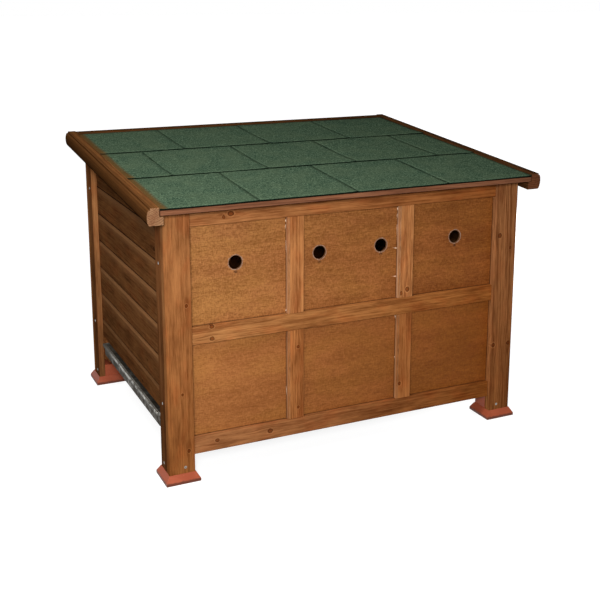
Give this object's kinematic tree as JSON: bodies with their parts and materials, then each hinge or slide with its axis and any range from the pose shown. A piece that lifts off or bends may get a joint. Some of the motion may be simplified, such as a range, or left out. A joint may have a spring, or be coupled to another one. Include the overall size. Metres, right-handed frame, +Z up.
{
  "type": "duck house",
  "caption": "Low wooden duck house on plastic feet, with panelled long walls, shiplap ends, vent holes, a felted single-pitch roof and a pull-out tray.",
  "frame": {"origin": "on the ground, under the middle of the hut's whole box", "axes": "+Z up, +X along the long walls towards the closed end, front (low) wall towards -Y, tray end towards -X"},
  "size_m": [1.092, 0.863, 0.7689],
  "materials": {
    "stained_timber": "planed softwood under a translucent brown stain, with knots and open grain",
    "stained_plywood": "thin plywood under the same stain, with fine cross figure",
    "stained_shiplap": "shiplap boards under the same stain",
    "stained_roof_timber": "planed deck and edge moulding under the same stain",
    "green_felt": "bitumen felt faced with green mineral granules, matt and rough",
    "terracotta_plastic": "moulded plastic, satin",
    "galvanised_sheet": "thin galvanised sheet, dull and slightly spangled"
  },
  "bodies": {
    "house": {"foot_front_left": "terracotta_plastic", "foot_front_right": "terracotta_plastic", "foot_back_left": "terracotta_plastic", "foot_back_right": "terracotta_plastic", "corner_board_front_left": "stained_timber", "corner_board_front_right": "stained_timber", "corner_board_back_left": "stained_timber", "corner_board_back_right": "stained_timber", "side_stile_front_left": "stained_timber", "side_stile_front_right": "stained_timber", "side_stile_back_left": "stained_timber", "side_stile_back_right": "stained_timber", "front_bottom_rail": "stained_timber", "front_mid_rail": "stained_timber", "front_top_rail": "stained_timber", "front_muntin_lower_left": "stained_timber", "front_muntin_lower_right": "stained_timber", "front_muntin_upper_left": "stained_timber", "front_muntin_upper_right": "stained_timber", "front_panel_lower": "stained_plywood", "front_panel_upper": "stained_plywood", "back_bottom_rail": "stained_timber", "back_mid_rail": "stained_timber", "back_top_rail": "stained_timber", "back_muntin_lower_left": "stained_timber", "back_muntin_lower_right": "stained_timber", "back_muntin_upper_left": "stained_timber", "back_muntin_upper_right": "stained_timber", "back_panel_lower": "stained_plywood", "back_panel_upper": "stained_plywood", "left_cladding": "stained_shiplap", "right_cladding": "stained_shiplap", "right_bottom_rail": "stained_timber", "tray_runner_front": "stained_timber", "tray_runner_back": "stained_timber", "roof_deck": "stained_roof_timber", "felt_course_lower": "green_felt", "felt_course_middle": "green_felt", "felt_course_upper": "green_felt", "verge_left": "stained_roof_timber", "verge_right": "stained_roof_timber", "roof_back_trim": "stained_roof_timber"},
    "tray": {"droppings_tray": "galvanised_sheet"}
  },
  "joints": [
    {"name": "tray_slide", "type": "slide", "parent": "house", "child": "tray", "axis": [-1, 0, 0], "range_m": [0, 0.8]}
  ]
}
